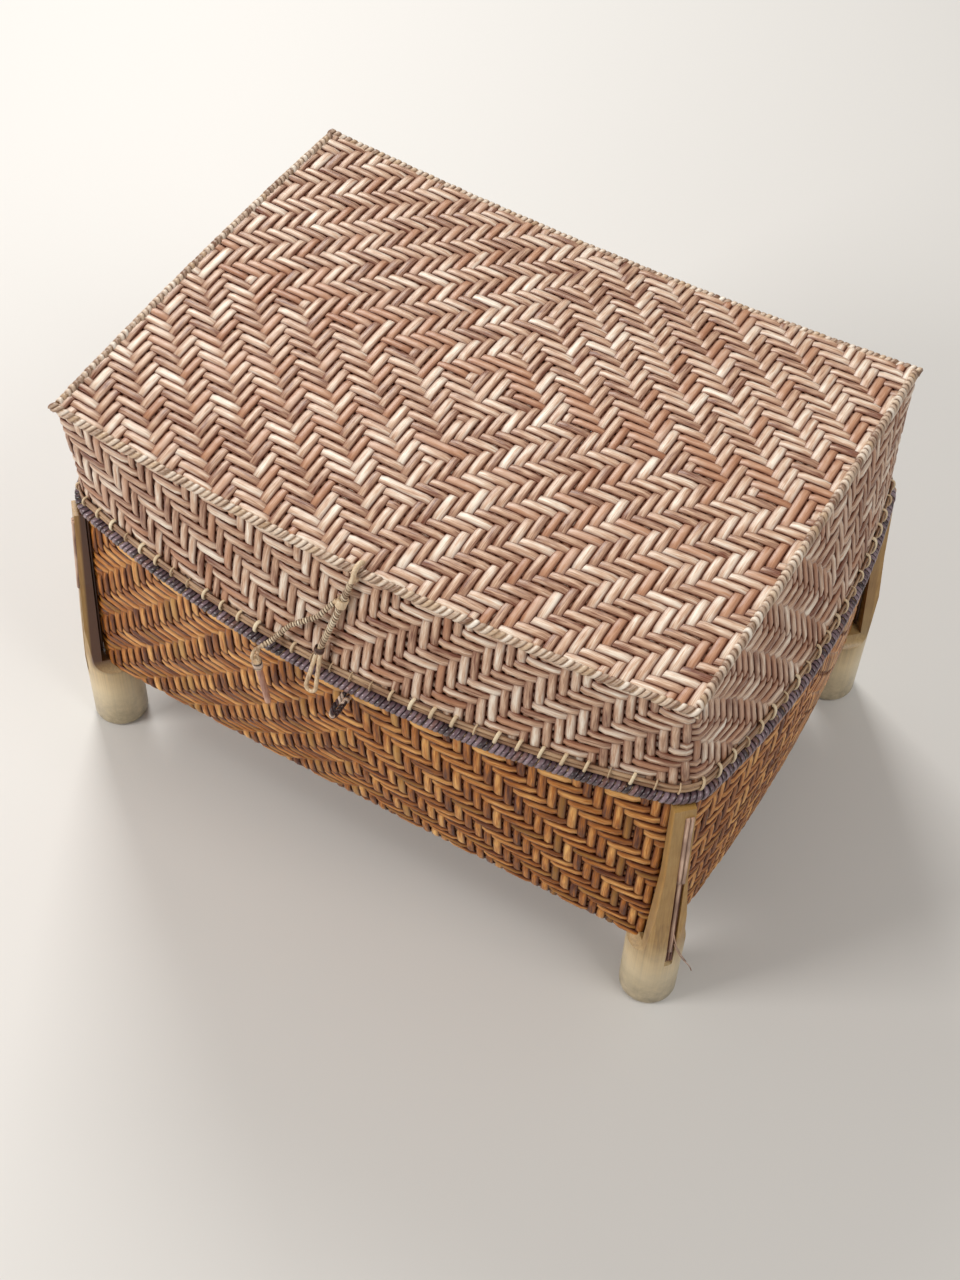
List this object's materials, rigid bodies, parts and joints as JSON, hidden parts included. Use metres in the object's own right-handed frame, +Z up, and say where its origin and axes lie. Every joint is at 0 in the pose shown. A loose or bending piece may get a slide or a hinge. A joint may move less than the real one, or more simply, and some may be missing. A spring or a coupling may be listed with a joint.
{
  "type": "wicker box with lid",
  "caption": "Rectangular woven cane box on pole legs, with a deep hinged lid, a bound rim, a strap hasp and a tethered locking peg.",
  "frame": {"origin": "on the floor under the middle of the box", "axes": "+X along the long side, towards the right seen from the front; -Y is the front, with the hasp; +Z up"},
  "size_m": [0.4964, 0.4042, 0.3305],
  "materials": {
    "base_cane": "satin honey-brown split cane",
    "lid_cane": "satin pale split cane",
    "hem_cane": "satin flat cane",
    "rim_binding": "glossy dark bound cane",
    "edge_binding": "satin straw-coloured bound cane",
    "inner_cane": "matt peeled cane",
    "strap_cane": "satin straw-coloured cane",
    "strap_binding": "satin straw-coloured bound cane",
    "peg_cane": "satin peeled cane",
    "leg_pole": "satin cane pole",
    "spline_cane": "satin split cane"
  },
  "bodies": {
    "base": {"base_weave": "base_cane", "rim_cane": "inner_cane", "rim_strip": "inner_cane", "rim_binding": "rim_binding", "staple_core": "inner_cane", "staple_wrap": "rim_binding", "hinge_ring_left": "strap_cane", "hinge_ring_right": "strap_cane", "leg_front_left": "leg_pole", "leg_front_right": "leg_pole", "leg_back_left": "leg_pole", "leg_back_right": "leg_pole", "leg_spline_front_left": "spline_cane", "leg_spline_front_right": "spline_cane", "leg_spline_back_left": "spline_cane", "leg_spline_back_right": "spline_cane"},
    "lid": {"lid_weave": "lid_cane", "hem_band_outer": "hem_cane", "hem_band_inner": "hem_cane", "lid_edge_rod_front": "inner_cane", "lid_edge_rod_back": "inner_cane", "lid_edge_rod_left": "inner_cane", "lid_edge_rod_right": "inner_cane", "lid_edge_wrap_front": "edge_binding", "lid_edge_wrap_back": "edge_binding", "lid_edge_wrap_left": "edge_binding", "lid_edge_wrap_right": "edge_binding"},
    "hasp": {"hasp_core": "strap_cane", "hasp_wrap": "strap_binding", "hasp_collar": "strap_binding"},
    "tether": {"tether_core": "strap_cane", "tether_wrap": "strap_binding"},
    "peg": {"peg_rod": "peg_cane", "peg_loop": "strap_binding"}
  },
  "joints": [
    {"name": "lid_hinge", "type": "hinge", "parent": "base", "child": "lid", "pos_m": [0, 0.1833, 0.2287], "axis": [-1, 0, 0], "range_deg": [0, 110]},
    {"name": "hasp_swing", "type": "hinge", "parent": "lid", "child": "hasp", "pos_m": [0.00404, -0.16186, 0.3101], "axis": [-1, 0, 0], "range_deg": [0, 150]},
    {"name": "tether_swing", "type": "hinge", "parent": "hasp", "child": "tether", "pos_m": [-0.0013, -0.17207, 0.28877], "axis": [0.2371, 0.2114, 0.9482], "range_deg": [0, 90]},
    {"name": "peg_swing", "type": "hinge", "parent": "tether", "child": "peg", "pos_m": [-0.0515, -0.1946, 0.2267], "axis": [0, 1, 0], "range_deg": [-30, 80]}
  ]
}
